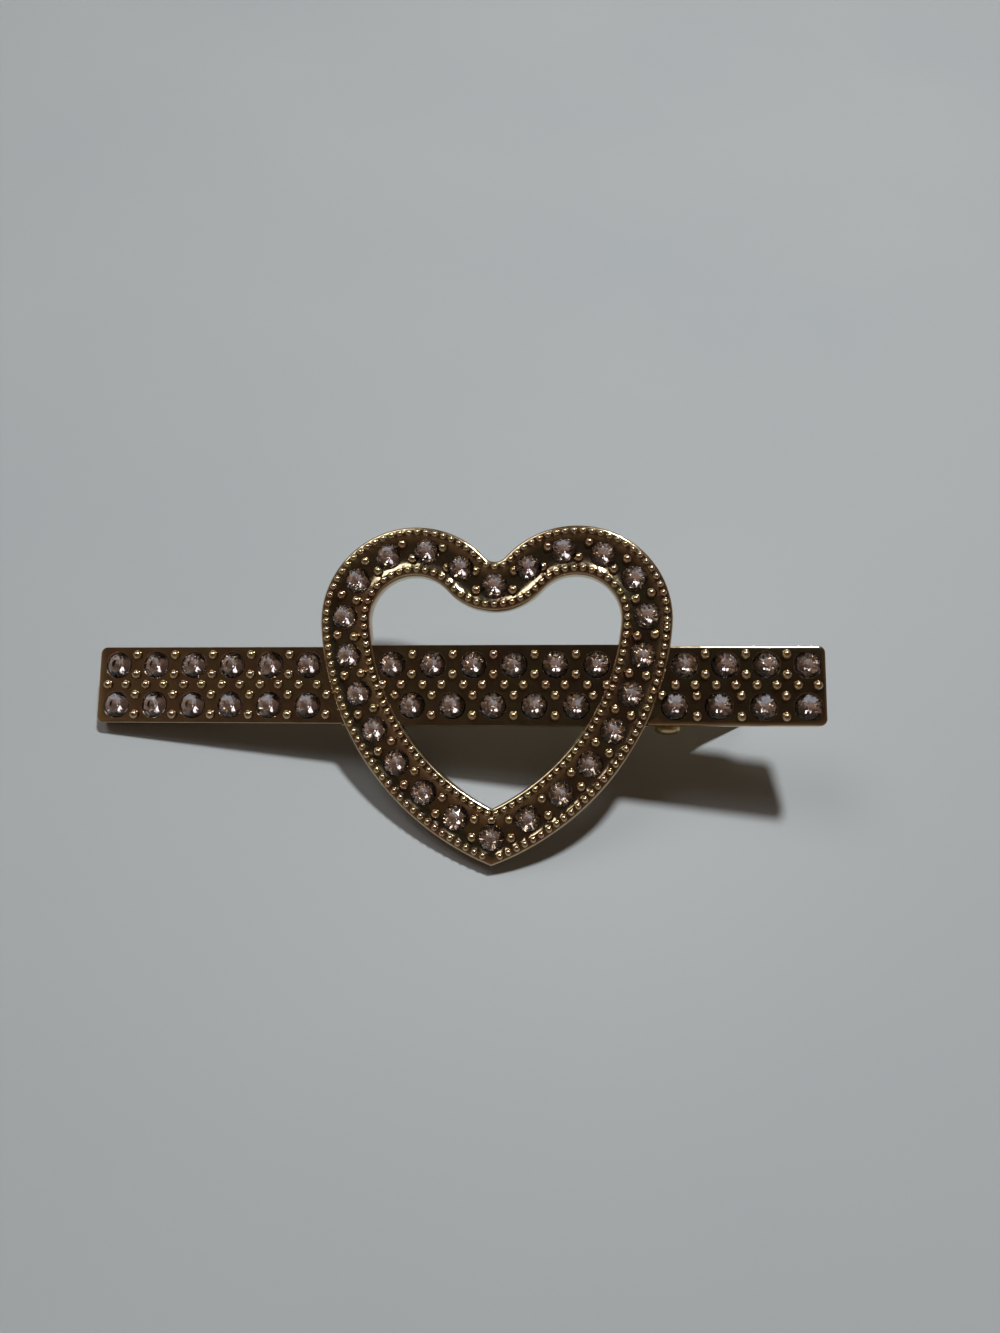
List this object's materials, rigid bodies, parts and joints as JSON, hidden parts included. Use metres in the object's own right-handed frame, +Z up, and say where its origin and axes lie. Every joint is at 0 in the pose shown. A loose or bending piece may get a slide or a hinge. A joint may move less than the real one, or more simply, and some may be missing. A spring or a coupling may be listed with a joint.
{
  "type": "hair clip",
  "caption": "Flat bar hair clip with an open heart, set with round crystals and cast beads, on a sprung two-blade clip that opens by a lever.",
  "frame": {"origin": "on the surface that the clip lies on, below the middle of its bounding box", "axes": "+X along the bar towards the hinge and lever, +Y towards the heart's lobes, +Z up, square to the surface; the clip lies as it comes to rest, on the tip of its lower blade, the foot of its lever and the heart's tip, so its plate rises 8.3 degrees towards +X and 25 degrees towards +Y"},
  "size_m": [0.0748, 0.032, 0.0179],
  "materials": {
    "cast_gold": "polished pale gold plating on a zinc alloy casting",
    "blade_gold": "bright gold plating on stamped steel",
    "spring_steel": "drawn spring wire",
    "crystal": "clear cut glass with a foiled back"
  },
  "bodies": {
    "clip_front": {"ornament_casting": "cast_gold", "upper_blade": "blade_gold", "hinge_pin": "blade_gold", "torsion_spring": "spring_steel", "crystal_heart_01": "crystal", "crystal_heart_02": "crystal", "crystal_heart_03": "crystal", "crystal_heart_04": "crystal", "crystal_heart_05": "crystal", "crystal_heart_06": "crystal", "crystal_heart_07": "crystal", "crystal_heart_08": "crystal", "crystal_heart_09": "crystal", "crystal_heart_10": "crystal", "crystal_heart_11": "crystal", "crystal_heart_12": "crystal", "crystal_heart_13": "crystal", "crystal_heart_14": "crystal", "crystal_heart_15": "crystal", "crystal_heart_16": "crystal", "crystal_heart_17": "crystal", "crystal_heart_18": "crystal", "crystal_heart_19": "crystal", "crystal_heart_20": "crystal", "crystal_heart_21": "crystal", "crystal_heart_22": "crystal", "crystal_heart_23": "crystal", "crystal_heart_24": "crystal", "crystal_left_upper_1": "crystal", "crystal_left_upper_2": "crystal", "crystal_left_upper_3": "crystal", "crystal_left_upper_4": "crystal", "crystal_left_upper_5": "crystal", "crystal_left_upper_6": "crystal", "crystal_left_lower_1": "crystal", "crystal_left_lower_2": "crystal", "crystal_left_lower_3": "crystal", "crystal_left_lower_4": "crystal", "crystal_left_lower_5": "crystal", "crystal_left_lower_6": "crystal", "crystal_waist_upper_1": "crystal", "crystal_waist_upper_2": "crystal", "crystal_waist_upper_3": "crystal", "crystal_waist_upper_4": "crystal", "crystal_waist_upper_5": "crystal", "crystal_waist_upper_6": "crystal", "crystal_waist_lower_1": "crystal", "crystal_waist_lower_2": "crystal", "crystal_waist_lower_3": "crystal", "crystal_waist_lower_4": "crystal", "crystal_waist_lower_5": "crystal", "crystal_right_upper_1": "crystal", "crystal_right_upper_2": "crystal", "crystal_right_upper_3": "crystal", "crystal_right_upper_4": "crystal", "crystal_right_lower_1": "crystal", "crystal_right_lower_2": "crystal", "crystal_right_lower_3": "crystal", "crystal_right_lower_4": "crystal"},
    "lower_jaw": {"lower_blade": "blade_gold"}
  },
  "joints": [
    {"name": "lever_pivot", "type": "hinge", "parent": "clip_front", "child": "lower_jaw", "pos_m": [0.02259, 0.00246, 0.00735], "axis": [0.0622, -0.9014, -0.4284], "range_deg": [0, 32], "stiffness_Nm_per_rad": 0.03, "springref_deg": -45.84, "deforming": ["torsion_spring"]}
  ]
}
